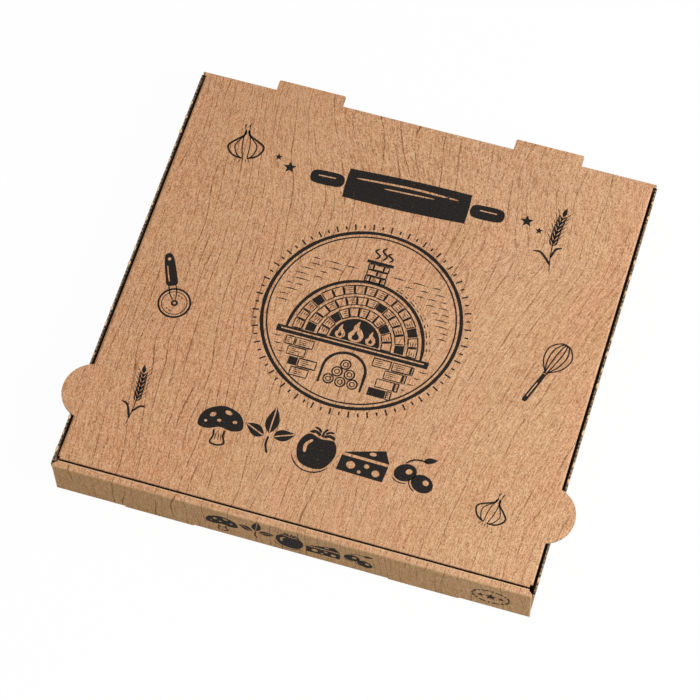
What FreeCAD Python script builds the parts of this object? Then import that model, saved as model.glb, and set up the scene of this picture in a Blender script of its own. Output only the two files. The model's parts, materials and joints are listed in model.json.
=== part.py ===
import FreeCAD, Part
import os
import re
import Sketcher

# A corrugated pizza box, folded from one blank and shut: a tray with a rolled front wall,
# and a lid that hinges on the tray's rear wall.
# Frame: X along the front edge, Y to the back, Z up, origin under the middle of the floor.

# Driving sizes in millimetres, each set once
SIZES = {
    # The board, and the gaps between the layers that it is folded into
    "board": 1.6,
    "fold_radius": 1.8,
    "layer_gap": 0.4,
    "rest_gap": 0.3,
    # The tray: floor, front wall and height, and how far a side wall leans out at the top
    "base_width": 328.4,
    "front_width": 329.6,
    "depth": 323.0,
    "height": 35.0,
    "wall_splay": 2.5,
    "rear_splay": 1.5,
    "corner_flap_length": 50.0,
    "corner_flap_taper": 7.0,
    # The tabs that lock the rolled front wall into slots in the floor
    "lock_width": 48.0,
    "lock_centre": 92.0,
    "lock_gap": 0.3,
    # The lid: its panel, and the gaps at the rolled front and along the rear crease
    "lid_width": 327.2,
    "front_gap": 0.9,
    "hinge_gap": 0.25,
    # The ears, which lie on the side walls
    "ear_radius": 21.0,
    "ear_inset": 6.6,
    "ear_back": 53.0,
    # The rear tabs, which are cut out of the rear wall
    "tab_width": 49.0,
    "tab_reach": 8.4,
    "tab_centre": 87.0,
    "tab_corner": 1.2,
    # The flaps that hang inside the walls from the lid's two sides and its front
    "side_flap_drop": 29.0,
    "side_flap_start": 9.0,
    "side_flap_taper": 14.0,
    "front_flap_drop": 28.0,
    "front_flap_lean": 3.0,
    "front_flap_inset": 6.0,
    "front_flap_taper": 14.0,
}

# Places worked out from the driving sizes
HALF_DEPTH = "depth / 2"
HALF_BASE = "base_width / 2"
HALF_LID = "lid_width / 2"
FLAP_FACE = "(depth / 2 - board - layer_gap)"
INNER_HALF = "(base_width / 2 - board - layer_gap)"
ROLL_BACK = "(3 * board + 2 * layer_gap - depth / 2)"
WALL_TOP = "(height - board - rest_gap)"
TOP_SPLAY = "wall_splay * (height - board - rest_gap) / height"
FLAP_FOOT = "(fold_radius + layer_gap)"
FOOT_SPLAY = "wall_splay * (fold_radius + layer_gap) / height"
LID_UNDER = "(height - board)"
LID_FRONT = "(3 * board + 2 * layer_gap - depth / 2 + front_gap)"
EAR_Y = "(3 * board + 2 * layer_gap - depth / 2 + front_gap + ear_back)"
SIDE_FOOT = "(height - side_flap_drop)"
SIDE_LEAN = "wall_splay * side_flap_drop / height"
TUCK_FOOT = "(height - front_flap_drop)"
TUCK_HALF = "(lid_width / 2 - front_flap_inset)"
BEYOND = "board"

doc = FreeCAD.newDocument("pizza_box")
sheet = doc.addObject("Spreadsheet::Sheet", "Sizes")
for row, (alias, size) in enumerate(SIZES.items(), start=1):
    sheet.set(f"A{row}", alias)
    sheet.set(f"B{row}", str(size))
    sheet.setAlias(f"B{row}", alias)
doc.recompute()


def bound(formula):
    """The formula with each alias pointed at the sheet."""
    return re.sub(r"\b([a-z]+(?:_[a-z]+)*)\b", r"Sizes.\1", formula)


def worth(formula):
    """The present value of a formula, in millimetres."""
    return float(sheet.evalExpression(bound(formula)))


def mirrored(points):
    """The same outline on the other side of the middle plane."""
    return [(f"-({across})", along) for across, along in points]


def body_for(name):
    """A body that makes one sub-part."""
    body = doc.addObject("PartDesign::Body", name)
    body.Label = name
    body.Placement = FreeCAD.Placement()
    return body


def fix(sketch, kind, geometry, point, formula):
    """Ties one coordinate of a sketch point to the sheet."""
    constraint = Sketcher.Constraint(kind, -1, 1, geometry, point, worth(formula))
    index = sketch.addConstraint(constraint)
    sketch.setExpression(f"Constraints[{index}]", bound(formula))


def sketch_on(body, plane, name, offset):
    """A sketch on one of the body's own origin planes, moved along the plane's normal."""
    sketch = body.newObject("Sketcher::SketchObject", name)
    support = [item for item in body.Origin.OriginFeatures if item.Role == plane][0]
    sketch.AttachmentSupport = [(support, "")]
    sketch.MapMode = "FlatFace"
    sketch.setExpression(".AttachmentOffset.Base.z", bound(offset))
    return sketch


def draw_outline(sketch, points):
    """A closed outline of straight lines through points given as pairs of formulas."""
    corners = [FreeCAD.Vector(worth(across), worth(along), 0) for across, along in points]
    lines = []
    for start, end in zip(corners, corners[1:] + corners[:1]):
        lines.append(sketch.addGeometry(Part.LineSegment(start, end), False))
    for line, following in zip(lines, lines[1:] + lines[:1]):
        sketch.addConstraint(Sketcher.Constraint("Coincident", line, 2, following, 1))
    for line, (across, along) in zip(lines, points):
        fix(sketch, "DistanceX", line, 1, across)
        fix(sketch, "DistanceY", line, 1, along)


def draw_circle(sketch, across, along, radius):
    """A circle whose centre and radius are given as formulas."""
    centre = FreeCAD.Vector(worth(across), worth(along), 0)
    circle = Part.Circle(centre, FreeCAD.Vector(0, 0, 1), worth(radius))
    geometry = sketch.addGeometry(circle, False)
    index = sketch.addConstraint(Sketcher.Constraint("Radius", geometry, worth(radius)))
    sketch.setExpression(f"Constraints[{index}]", bound(radius))
    fix(sketch, "DistanceX", geometry, 3, across)
    fix(sketch, "DistanceY", geometry, 3, along)


def feature_from(kind, sketch, length):
    """A pad or pocket that runs the given length, half to each side of its sketch."""
    body = sketch.getParentGeoFeatureGroup()
    before = body.Shape.Volume if body.Tip else 0.0
    feature = body.newObject(f"PartDesign::{kind}", sketch.Name + kind)
    feature.Profile = sketch
    feature.SideType = "Symmetric"
    feature.setExpression("Length", bound(length))
    doc.recompute()
    change = body.Shape.Volume - before
    if (change > 0) != (kind == "Pad"):
        raise RuntimeError(f"{feature.Name} changed the volume by {change:.1f}")
    return feature


def round_edges(body, name, radius, along, places):
    """Rounds the straight edges along one axis that pass through the given places.

    A place gives the other two coordinates, in the order X, Y, Z."""
    base = body.Tip
    spots = [[worth(formula) for formula in place] for place in places]
    others = [axis for axis in range(3) if axis != along]
    found = []
    for index, edge in enumerate(base.Shape.Edges, start=1):
        if edge.Curve.TypeId != "Part::GeomLine":
            continue
        run = edge.Curve.Direction
        if abs(run[along]) < 0.99:
            continue
        middle = edge.valueAt((edge.FirstParameter + edge.LastParameter) / 2)
        for spot in spots:
            if max(abs(middle[axis] - value) for axis, value in zip(others, spot)) < 0.01:
                found.append(f"Edge{index}")
    if len(found) < len(spots):
        raise RuntimeError(f"{name} found {len(found)} of {len(spots)} edges")
    fillet = body.newObject("PartDesign::Fillet", name)
    fillet.Base = (base, found)
    fillet.setExpression("Radius", bound(radius))
    doc.recompute()
    return fillet


X_AXIS, Y_AXIS, Z_AXIS = range(3)


def fold_floor_and_sides(tray):
    """The floor with the two side walls, which lean out a little."""
    profile = sketch_on(tray, "XZ_Plane", "FloorAndSides", "0 * board")
    half = [
        (HALF_BASE, "0 * board"),
        (f"{HALF_BASE} + {TOP_SPLAY}", WALL_TOP),
        (f"{HALF_BASE} + {TOP_SPLAY} - board", WALL_TOP),
        (f"{HALF_BASE} + wall_splay * board / height - board", "board"),
    ]
    draw_outline(profile, half + mirrored(half)[::-1])
    feature_from("Pad", profile, f"2 * {FLAP_FACE}")
    round_edges(tray, "SideFolds", "fold_radius", Y_AXIS, [
        (HALF_BASE, "0 * board"),
        (f"-{HALF_BASE}", "0 * board"),
    ])


def roll_front_wall(tray):
    """The front wall, which rolls over a narrow top strip and down again inside the tray."""
    profile = sketch_on(tray, "YZ_Plane", "FrontWall", "0 * board")
    draw_outline(profile, [
        (f"-{FLAP_FACE}", "0 * board"),
        (f"-{HALF_DEPTH}", "0 * board"),
        (f"-{HALF_DEPTH}", "height"),
        (f"-{FLAP_FACE}", "height"),
        (f"-{FLAP_FACE}", LID_UNDER),
        (f"board - {HALF_DEPTH}", LID_UNDER),
        (f"board - {HALF_DEPTH}", "board"),
        (f"-{FLAP_FACE}", "board"),
    ])
    feature_from("Pad", profile, "front_width")
    profile = sketch_on(tray, "YZ_Plane", "InnerPanel", "0 * board")
    draw_outline(profile, [
        (f"-{FLAP_FACE}", "height"),
        (ROLL_BACK, "height"),
        (ROLL_BACK, "board + lock_gap"),
        (f"{ROLL_BACK} - board", "board + lock_gap"),
        (f"{ROLL_BACK} - board", LID_UNDER),
        (f"-{FLAP_FACE}", LID_UNDER),
    ])
    feature_from("Pad", profile, f"2 * {INNER_HALF}")
    ends = sketch_on(tray, "XY_Plane", "StripEnds", "height - board / 2")
    end = [
        (f"{INNER_HALF} - board", f"-{FLAP_FACE}"),
        ("front_width / 2", f"-{FLAP_FACE}"),
        (INNER_HALF, f"{ROLL_BACK} - board"),
        (f"{INNER_HALF} - board", f"{ROLL_BACK} - board"),
    ]
    draw_outline(ends, end)
    draw_outline(ends, mirrored(end))
    feature_from("Pad", ends, "board")
    round_edges(tray, "FrontFolds", "fold_radius", X_AXIS, [
        (f"-{HALF_DEPTH}", "0 * board"),
        (f"-{HALF_DEPTH}", "height"),
    ])
    round_edges(tray, "InnerFold", "fold_radius", X_AXIS, [(ROLL_BACK, "height")])


def add_corner_flaps(tray):
    """The flap at each end of a side wall, folded in behind the front or the rear wall."""
    outline = [
        (f"{HALF_BASE} + {FOOT_SPLAY}", FLAP_FOOT),
        (f"{HALF_BASE} + {TOP_SPLAY}", WALL_TOP),
        (f"{HALF_BASE} - corner_flap_length + corner_flap_taper", WALL_TOP),
        (f"{HALF_BASE} - corner_flap_length", FLAP_FOOT),
    ]
    for name, offset in (("FrontFlaps", f"{FLAP_FACE} - board / 2"),
                         ("RearFlaps", f"board / 2 - {FLAP_FACE}")):
        flaps = sketch_on(tray, "XZ_Plane", name, offset)
        draw_outline(flaps, outline)
        draw_outline(flaps, mirrored(outline))
        feature_from("Pad", flaps, "board")


def raise_rear_wall(tray):
    """The rear wall, mitred along the lid's crease, with a window for each rear tab.

    Its ends cover the side walls' ends and lean out with them.
    """
    profile = sketch_on(tray, "YZ_Plane", "RearWall", "0 * board")
    draw_outline(profile, [
        (FLAP_FACE, "0 * board"),
        (HALF_DEPTH, "0 * board"),
        (HALF_DEPTH, "height - hinge_gap"),
        (f"{HALF_DEPTH} - board", f"{LID_UNDER} - hinge_gap"),
        (f"{HALF_DEPTH} - board", "board"),
        (FLAP_FACE, "board"),
    ])
    feature_from("Pad", profile, "base_width + 2 * rear_splay")
    round_edges(tray, "RearFold", "fold_radius", X_AXIS, [(HALF_DEPTH, "0 * board")])
    ends = sketch_on(tray, "XZ_Plane", "RearWallEnds", f"(board + layer_gap) / 2 - {HALF_DEPTH}")
    end = [
        (HALF_BASE, f"-{BEYOND}"),
        (f"{HALF_BASE} + rear_splay + {BEYOND}", f"-{BEYOND}"),
        (f"{HALF_BASE} + rear_splay + {BEYOND}", WALL_TOP),
        (f"{HALF_BASE} + rear_splay", WALL_TOP),
        (HALF_BASE, "0 * board"),
    ]
    draw_outline(ends, end)
    draw_outline(ends, mirrored(end))
    feature_from("Pocket", ends, "board + layer_gap")
    windows = sketch_on(tray, "XZ_Plane", "Windows", f"board / 2 - {HALF_DEPTH}")
    window = [
        ("tab_centre - tab_width / 2 - rest_gap", "height - tab_reach - rest_gap"),
        ("tab_centre + tab_width / 2 + rest_gap", "height - tab_reach - rest_gap"),
        ("tab_centre + tab_width / 2 + rest_gap", f"height + {BEYOND}"),
        ("tab_centre - tab_width / 2 - rest_gap", f"height + {BEYOND}"),
    ]
    draw_outline(windows, window)
    draw_outline(windows, mirrored(window))
    feature_from("Pocket", windows, "board + layer_gap")


def lock_front_wall(tray):
    """The slots in the floor, the inner front panel's tabs in them, and the cut fold before them.

    The front wall isn't folded in front of a slot, so its foot stays square there.
    """
    slots = sketch_on(tray, "XY_Plane", "LockSlots", "0 * board")
    slot = [
        ("lock_centre - lock_width / 2 - lock_gap", f"{ROLL_BACK} - board - lock_gap"),
        ("lock_centre + lock_width / 2 + lock_gap", f"{ROLL_BACK} - board - lock_gap"),
        ("lock_centre + lock_width / 2 + lock_gap", f"{ROLL_BACK} + lock_gap"),
        ("lock_centre - lock_width / 2 - lock_gap", f"{ROLL_BACK} + lock_gap"),
    ]
    draw_outline(slots, slot)
    draw_outline(slots, mirrored(slot))
    feature_from("Pocket", slots, "2 * board + lock_gap")
    tabs = sketch_on(tray, "XZ_Plane", "LockTabs", f"board / 2 - {ROLL_BACK}")
    tab = [
        ("lock_centre - lock_width / 2", "2 * board"),
        ("lock_centre - lock_width / 2 + lock_gap", "lock_gap"),
        ("lock_centre + lock_width / 2 - lock_gap", "lock_gap"),
        ("lock_centre + lock_width / 2", "2 * board"),
    ]
    draw_outline(tabs, tab)
    draw_outline(tabs, mirrored(tab))
    feature_from("Pad", tabs, "board")
    feet = sketch_on(tray, "XY_Plane", "CutFold", "fold_radius / 2")
    foot = [
        ("lock_centre - lock_width / 2 - lock_gap", f"-{HALF_DEPTH}"),
        ("lock_centre + lock_width / 2 + lock_gap", f"-{HALF_DEPTH}"),
        ("lock_centre + lock_width / 2 + lock_gap", f"board - {HALF_DEPTH}"),
        ("lock_centre - lock_width / 2 - lock_gap", f"board - {HALF_DEPTH}"),
    ]
    draw_outline(feet, foot)
    draw_outline(feet, mirrored(foot))
    feature_from("Pad", feet, "fold_radius")


def make_tray():
    """The tray: floor, side walls, rolled front, corner flaps and rear wall."""
    tray = body_for("tray")
    fold_floor_and_sides(tray)
    roll_front_wall(tray)
    add_corner_flaps(tray)
    raise_rear_wall(tray)
    lock_front_wall(tray)
    return tray


def fold_lid_sides(lid):
    """The lid's edges folded down into side flaps, with a cut round each ear."""
    middle = f"({LID_FRONT} + fold_radius + layer_gap + {HALF_DEPTH} - board) / 2"
    profile = sketch_on(lid, "XZ_Plane", "FoldedSides", f"-{middle}")
    half = [
        (HALF_LID, "height"),
        (f"{HALF_LID} - {SIDE_LEAN}", SIDE_FOOT),
        (f"{HALF_LID} - {SIDE_LEAN} - board", SIDE_FOOT),
        (f"{HALF_LID} - wall_splay * board / height - board", LID_UNDER),
    ]
    draw_outline(profile, half + mirrored(half)[::-1])
    feature_from("Pad", profile,
                 f"{HALF_DEPTH} - board - {LID_FRONT} - fold_radius - layer_gap")
    round_edges(lid, "LidSideFolds", "fold_radius", Y_AXIS, [
        (HALF_LID, "height"),
        (f"-{HALF_LID}", "height"),
    ])
    cuts = sketch_on(lid, "YZ_Plane", "EarCuts", "0 * board")
    draw_circle(cuts, EAR_Y, "height + ear_inset", "ear_radius + layer_gap / 2")
    feature_from("Pocket", cuts, f"lid_width + 2 * {BEYOND}")
    ends = sketch_on(lid, "YZ_Plane", "SideFlapEnds", "0 * board")
    draw_outline(ends, [
        (f"{LID_FRONT} - {BEYOND}", LID_UNDER),
        (f"{LID_FRONT} + side_flap_start", LID_UNDER),
        (f"{LID_FRONT} + side_flap_start + side_flap_taper", f"{SIDE_FOOT} - {BEYOND}"),
        (f"{LID_FRONT} - {BEYOND}", f"{SIDE_FOOT} - {BEYOND}"),
    ])
    draw_outline(ends, [
        (f"{HALF_DEPTH} + {BEYOND}", LID_UNDER),
        (f"{HALF_DEPTH} - side_flap_start", LID_UNDER),
        (f"{HALF_DEPTH} - side_flap_start - side_flap_taper", f"{SIDE_FOOT} - {BEYOND}"),
        (f"{HALF_DEPTH} + {BEYOND}", f"{SIDE_FOOT} - {BEYOND}"),
    ])
    feature_from("Pocket", ends, f"lid_width + 2 * {BEYOND}")


def lay_panel_and_tuck_flap(lid):
    """The lid's panel, mitred along the rear crease, and the tuck flap at its front."""
    profile = sketch_on(lid, "YZ_Plane", "Panel", "0 * board")
    draw_outline(profile, [
        (f"{HALF_DEPTH} - hinge_gap", "height"),
        (LID_FRONT, "height"),
        (f"{LID_FRONT} + front_flap_lean", TUCK_FOOT),
        (f"{LID_FRONT} + front_flap_lean + board", TUCK_FOOT),
        (f"{LID_FRONT} + front_flap_lean * board / front_flap_drop + board", LID_UNDER),
        (f"{HALF_DEPTH} - hinge_gap - board", LID_UNDER),
    ])
    feature_from("Pad", profile, "lid_width - 2 * fold_radius")
    round_edges(lid, "LidFrontFold", "fold_radius", X_AXIS, [(LID_FRONT, "height")])
    ends = sketch_on(lid, "XZ_Plane", "TuckFlapEnds",
                     f"-{LID_FRONT} - (front_flap_lean + board) / 2")
    end = [
        (TUCK_HALF, LID_UNDER),
        (f"{HALF_LID} + {BEYOND}", LID_UNDER),
        (f"{HALF_LID} + {BEYOND}", f"{TUCK_FOOT} - {BEYOND}"),
        (f"{TUCK_HALF} - front_flap_taper", f"{TUCK_FOOT} - {BEYOND}"),
    ]
    draw_outline(ends, end)
    draw_outline(ends, mirrored(end))
    feature_from("Pocket", ends, "front_flap_lean + 3 * board")


def add_ears(lid):
    """The round ears that stay flat beside the side folds and lie on the side walls."""
    ears = sketch_on(lid, "XY_Plane", "Ears", "height - board / 2")
    draw_circle(ears, f"{HALF_LID} - ear_inset", EAR_Y, "ear_radius")
    draw_circle(ears, f"ear_inset - {HALF_LID}", EAR_Y, "ear_radius")
    feature_from("Pad", ears, "board")


def add_rear_tabs(lid):
    """The tabs that stay flat with the lid and stand out behind the rear crease."""
    tabs = sketch_on(lid, "XY_Plane", "RearTabs", "height - board / 2")
    tab = [
        ("tab_centre - tab_width / 2", f"{HALF_DEPTH} - 2 * board"),
        ("tab_centre + tab_width / 2", f"{HALF_DEPTH} - 2 * board"),
        ("tab_centre + tab_width / 2", f"{HALF_DEPTH} + tab_reach"),
        ("tab_centre - tab_width / 2", f"{HALF_DEPTH} + tab_reach"),
    ]
    draw_outline(tabs, tab)
    draw_outline(tabs, mirrored(tab))
    feature_from("Pad", tabs, "board")
    corners = [corner for corner in tab + mirrored(tab) if "reach" in corner[1]]
    round_edges(lid, "TabCorners", "tab_corner", Z_AXIS, corners)


def make_lid():
    """The lid: panel, ears, rear tabs, side flaps and tuck flap."""
    lid = body_for("lid")
    fold_lid_sides(lid)
    lay_panel_and_tuck_flap(lid)
    add_ears(lid)
    add_rear_tabs(lid)
    return lid


def check(item):
    """Stops the build if an object failed."""
    if "Invalid" in item.State or "Error" in item.State:
        raise RuntimeError(f"{item.Name} failed")


sub_parts = [make_tray(), make_lid()]
doc.recompute()
for item in doc.Objects:
    check(item)
os.makedirs("parts", exist_ok=True)
for sub_part in sub_parts:
    shape = sub_part.Shape
    if shape.isNull() or not shape.isValid() or len(shape.Solids) != 1:
        raise RuntimeError(f"{sub_part.Label} isn't one valid solid")
    shape.exportStep(f"parts/{sub_part.Label}.step")
    print(sub_part.Label, f"{shape.Volume:.0f} mm3", shape.BoundBox)
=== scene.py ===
import json
import math
import random

import bmesh
import bpy
from bpy.props import FloatProperty, FloatVectorProperty, IntProperty, PointerProperty
from mathutils import Euler, Matrix, Vector
from mathutils.geometry import tessellate_polygon


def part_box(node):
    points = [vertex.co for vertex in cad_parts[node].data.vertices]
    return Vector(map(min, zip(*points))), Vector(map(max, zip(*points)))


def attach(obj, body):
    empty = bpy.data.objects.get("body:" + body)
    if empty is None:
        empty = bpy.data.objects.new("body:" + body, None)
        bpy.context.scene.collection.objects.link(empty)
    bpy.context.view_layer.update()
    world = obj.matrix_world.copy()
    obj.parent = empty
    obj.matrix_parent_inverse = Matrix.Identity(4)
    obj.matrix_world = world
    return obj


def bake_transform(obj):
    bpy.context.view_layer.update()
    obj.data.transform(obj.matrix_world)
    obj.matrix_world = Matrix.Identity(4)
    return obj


# A printed pizza box of corrugated board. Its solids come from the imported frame, in metres:
# X along the front edge, Y to the back, Z up. Here they get their board and their print.

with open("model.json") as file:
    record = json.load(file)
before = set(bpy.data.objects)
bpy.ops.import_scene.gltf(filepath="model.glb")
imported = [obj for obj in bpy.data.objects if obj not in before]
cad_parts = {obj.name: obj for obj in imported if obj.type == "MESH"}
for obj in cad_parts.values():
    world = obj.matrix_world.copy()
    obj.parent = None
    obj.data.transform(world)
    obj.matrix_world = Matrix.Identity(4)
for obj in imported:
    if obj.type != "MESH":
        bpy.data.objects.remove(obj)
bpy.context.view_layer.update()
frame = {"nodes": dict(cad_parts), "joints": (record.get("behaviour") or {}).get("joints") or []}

bl_info = {
    "name": "Printed Pizza Box",
    "version": (1, 0, 0),
    "blender": (4, 5, 0),
    "location": "View3D > Sidebar > Pizza Box",
    "description": "Board, raw edges, crease and print of a corrugated pizza box",
    "category": "Object",
}

TRAY_LOW, TRAY_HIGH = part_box("tray")
LID_LOW, LID_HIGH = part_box("lid")
HINGE = Vector(frame["joints"][0]["pos_m"])
MM = 0.001

# Sizes of the folded box, in millimetres

HALF_FRONT = 164.8
HALF_BASE = 164.2
LAYER_GAP = 0.4
REST_GAP = 0.3
EAR_REACH = 14.4
EAR_ALONG = -102.0
EAR_RADIUS = 21.0
TAB_INNER = 62.2
TAB_OUTER = 111.8


def paper(red, green, blue):
    """A colour as the eye reads it, 0 to 255, turned into the linear values of a shader."""
    return tuple((value / 255) ** 2.2 for value in (red, green, blue))


# Tones of recycled paper, and painted shade tints, that are mixed into the board's own colours

PINK_STREAK = paper(222, 160, 122)
# painted shade: the left side of the liner darker and more amber, as if it got less light
LEFT_SIDE_SHADE = paper(217, 152, 103)
DARK_FLECK = paper(142, 87, 50)
LIGHT_FLECK = paper(246, 208, 168)
DARK_FIBRE = paper(148, 93, 56)
LIGHT_FIBRE = paper(242, 202, 162)
PORE = paper(84, 54, 34)
# painted shade: the olive tint of the walls as they stand in shade
WALL_SHADE_TINT = paper(182, 152, 93)
WALL_DARK = paper(112, 80, 46)
WALL_LIGHT = paper(236, 204, 160)
WALL_GRAIN = paper(84, 58, 34)
TORN_PAPER = paper(200, 176, 146)
FLUTE_LIGHT = paper(200, 176, 144)
# painted shade: the inner side of a raw edge, next to the gap
FLUTE_INNER_SHADE = paper(58, 43, 31)
FLUTE_FIBRE = paper(126, 98, 70)


# Settings that a user would change


class BoardSettings(bpy.types.PropertyGroup):
    """The corrugated board: its layers and its colours."""

    thickness: FloatProperty(
        name="Thickness", description="Thickness of the board",
        default=0.0016, unit="LENGTH")
    fold_radius: FloatProperty(
        name="Fold radius", description="Outer radius of a fold",
        default=0.0018, unit="LENGTH")
    flute_pitch: FloatProperty(
        name="Flute pitch", description="Distance from one flute to the next",
        default=0.0032, unit="LENGTH")
    liner: FloatProperty(
        name="Liner", description="Thickness of a liner as it shows at a raw edge",
        default=0.00026, unit="LENGTH")
    edge_rise: FloatProperty(
        name="Edge rise", description="How far the flutes stand out of the solid edge",
        default=0.00018, unit="LENGTH")
    kraft: FloatVectorProperty(
        name="Kraft", description="Colour of the outer liner",
        default=paper(222, 174, 131), subtype="COLOR")
    kraft_warm: FloatVectorProperty(
        name="Warm kraft", description="Colour of the pinker clouds in the outer liner",
        default=paper(212, 158, 116), subtype="COLOR")
    kraft_inside: FloatVectorProperty(
        name="Kraft inside", description="Colour of the unprinted inner liner",
        default=paper(196, 158, 120), subtype="COLOR")
    grain: FloatVectorProperty(
        name="Grain", description="Colour of the printed wood grain",
        default=paper(122, 67, 36), subtype="COLOR")
    # Pale colour of stretched liner, torn fibre and raw ends, and also the painted highlight along
    # folds and edges
    pale_fibre_and_highlight: FloatVectorProperty(
        name="Fold", description="Colour of the stretched liner along a fold",
        default=paper(236, 204, 166), subtype="COLOR")
    flute_shade: FloatVectorProperty(
        name="Flute shade", description="Colour deep between the flutes",
        default=paper(40, 29, 21), subtype="COLOR")


class PrintSettings(bpy.types.PropertyGroup):
    """The print on the lid and on the front wall."""

    lift: FloatProperty(
        name="Lift", description="Height of the ink's face above the board",
        default=0.00005, unit="LENGTH")
    ink: FloatVectorProperty(
        name="Ink", description="Colour of the ink",
        default=paper(34, 32, 31), subtype="COLOR")
    rays: IntProperty(
        name="Rays", description="Rays round the medallion", default=72, min=12)
    ray_radius: FloatProperty(
        name="Ray radius", description="Where the rays start",
        default=0.0702, unit="LENGTH")
    ray_length: FloatProperty(
        name="Ray length", description="Length of a ray", default=0.0046, unit="LENGTH")


class StageSettings(bpy.types.PropertyGroup):
    """The camera and the light."""

    camera_place: FloatVectorProperty(
        name="Camera", description="Where the camera stands",
        default=(0.30947, -0.91525, 1.83818), subtype="TRANSLATION", unit="LENGTH")
    camera_turn: FloatVectorProperty(
        name="Turn", description="How the camera is turned",
        default=tuple(math.radians(angle) for angle in (27.64, 1.08, 17.09)),
        subtype="EULER", unit="ROTATION")
    lens: FloatProperty(
        name="Lens", description="Focal length in millimetres", default=155.1)
    sky: FloatProperty(
        name="Sky", description="Strength of the even light", default=0.5)
    key: FloatProperty(
        name="Key", description="Strength of the soft lamp in watts", default=26.0)
    key_place: FloatVectorProperty(
        name="Key place", description="Where the soft lamp stands",
        default=(1.25, -0.34, 1.2), subtype="TRANSLATION", unit="LENGTH")
    key_size: FloatProperty(
        name="Key size", description="Side of the soft lamp", default=0.9, unit="LENGTH")
    floor: FloatVectorProperty(
        name="Floor", description="Colour of the floor", default=(0.9, 0.9, 0.9),
        subtype="COLOR")
    bounce: FloatVectorProperty(
        name="Bounce", description="Colour of the light that the floor gives back",
        default=(0.62, 0.62, 0.62), subtype="COLOR")


# Shader expressions


class Wire:
    """A socket that takes part in Python expressions."""

    def __init__(self, graph, socket):
        self.graph = graph
        self.socket = socket

    def __add__(self, other):
        return self.graph.maths("ADD", self, other)

    def __radd__(self, other):
        return self.graph.maths("ADD", other, self)

    def __sub__(self, other):
        return self.graph.maths("SUBTRACT", self, other)

    def __rsub__(self, other):
        return self.graph.maths("SUBTRACT", other, self)

    def __mul__(self, other):
        return self.graph.maths("MULTIPLY", self, other)

    def __rmul__(self, other):
        return self.graph.maths("MULTIPLY", other, self)

    def __truediv__(self, other):
        return self.graph.maths("DIVIDE", self, other)

    def __abs__(self):
        return self.graph.maths("ABSOLUTE", self)

    def at_least(self, other):
        """The larger of the two."""
        return self.graph.maths("MAXIMUM", self, other)

    def at_most(self, other):
        """The smaller of the two."""
        return self.graph.maths("MINIMUM", self, other)

    def fraction(self):
        """What is left past the last whole number."""
        return self.graph.maths("FRACT", self)

    def wave(self):
        """The sine."""
        return self.graph.maths("SINE", self)

    def rise(self, low, high):
        """0 below low, 1 above high, and smooth between them. High may be the lower one."""
        return Wire(self.graph, self.graph.node(
            "ShaderNodeMapRange", {"interpolation_type": "SMOOTHSTEP"},
            {"Value": self, "From Min": low, "From Max": high}).outputs["Result"])


class Graph:
    """The node tree of a material or a world."""

    def __init__(self, owner):
        owner.use_nodes = True
        self.owner = owner
        self.tree = owner.node_tree
        self.tree.nodes.clear()

    def node(self, kind, settings=None, values=None):
        """Adds a node, sets it up, and then feeds its sockets with values or wires."""
        item = self.tree.nodes.new(kind)
        for name, value in (settings or {}).items():
            setattr(item, name, value)
        for name, value in (values or {}).items():
            if isinstance(value, Wire):
                self.tree.links.new(value.socket, item.inputs[name])
            else:
                item.inputs[name].default_value = value
        return item

    def maths(self, operation, *values):
        """The wire that a Math node gives for some values or wires."""
        item = self.node(
            "ShaderNodeMath", {"operation": operation}, dict(enumerate(values)))
        return Wire(self, item.outputs[0])

    def mix(self, share, first, second):
        """First and second colour mixed by a share from 0 to 1."""
        item = self.node(
            "ShaderNodeMix", {"data_type": "RGBA"},
            {0: share, 6: opaque(first), 7: opaque(second)})
        return Wire(self, item.outputs[2])

    def place(self):
        """Object coordinates in millimetres, and the object's own normal."""
        source = self.node("ShaderNodeTexCoord")
        spots = self.node("ShaderNodeSeparateXYZ", {}, {0: Wire(self, source.outputs["Object"])})
        faces = self.node("ShaderNodeSeparateXYZ", {}, {0: Wire(self, source.outputs["Normal"])})
        across, along, up = (Wire(self, socket) * 1000.0 for socket in spots.outputs)
        return (across, along, up), tuple(Wire(self, socket) for socket in faces.outputs)

    def vector(self, *parts):
        """One vector from its three parts."""
        item = self.node("ShaderNodeCombineXYZ", {}, dict(enumerate(parts)))
        return Wire(self, item.outputs[0])

    def noise(self, parts, detail=2.0, roughness=0.5):
        """Noise from 0 to 1 at a place whose parts are already scaled."""
        item = self.node(
            "ShaderNodeTexNoise", {},
            {"Vector": self.vector(*parts), "Scale": 1.0, "Detail": detail,
             "Roughness": roughness})
        return Wire(self, item.outputs["Fac"])

    def cells(self, parts):
        """A cell pattern at a place whose parts are already scaled."""
        return self.node(
            "ShaderNodeTexVoronoi", {"feature": "F1"},
            {"Vector": self.vector(*parts), "Scale": 1.0})

    def grains(self, parts):
        """A random value from 0 to 1 for each small cell of the place."""
        colour = Wire(self, self.cells(parts).outputs["Color"])
        split = self.node("ShaderNodeSeparateColor", {}, {0: colour})
        return Wire(self, split.outputs[0])

    def spots(self, parts):
        """The distance from the nearest of some scattered points."""
        return Wire(self, self.cells(parts).outputs["Distance"])

    def closeness(self, reach):
        """How closed in a place is: 0 in the open, near 1 deep in a narrow gap."""
        item = self.node("ShaderNodeAmbientOcclusion", {"samples": 8}, {"Distance": reach})
        return 1.0 - Wire(self, item.outputs["AO"])

    def finish(self, colour, height, depth, roughness):
        """Closes the tree with one surface shader and a bump, and gives the material."""
        bump = self.node("ShaderNodeBump", {}, {"Height": height, "Distance": depth})
        surface = self.node(
            "ShaderNodeBsdfPrincipled", {},
            {"Base Color": colour, "Roughness": roughness,
             "Normal": Wire(self, bump.outputs[0]), "Specular IOR Level": 0.22})
        self.node("ShaderNodeOutputMaterial", {}, {0: Wire(self, surface.outputs[0])})
        return self.owner


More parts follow.
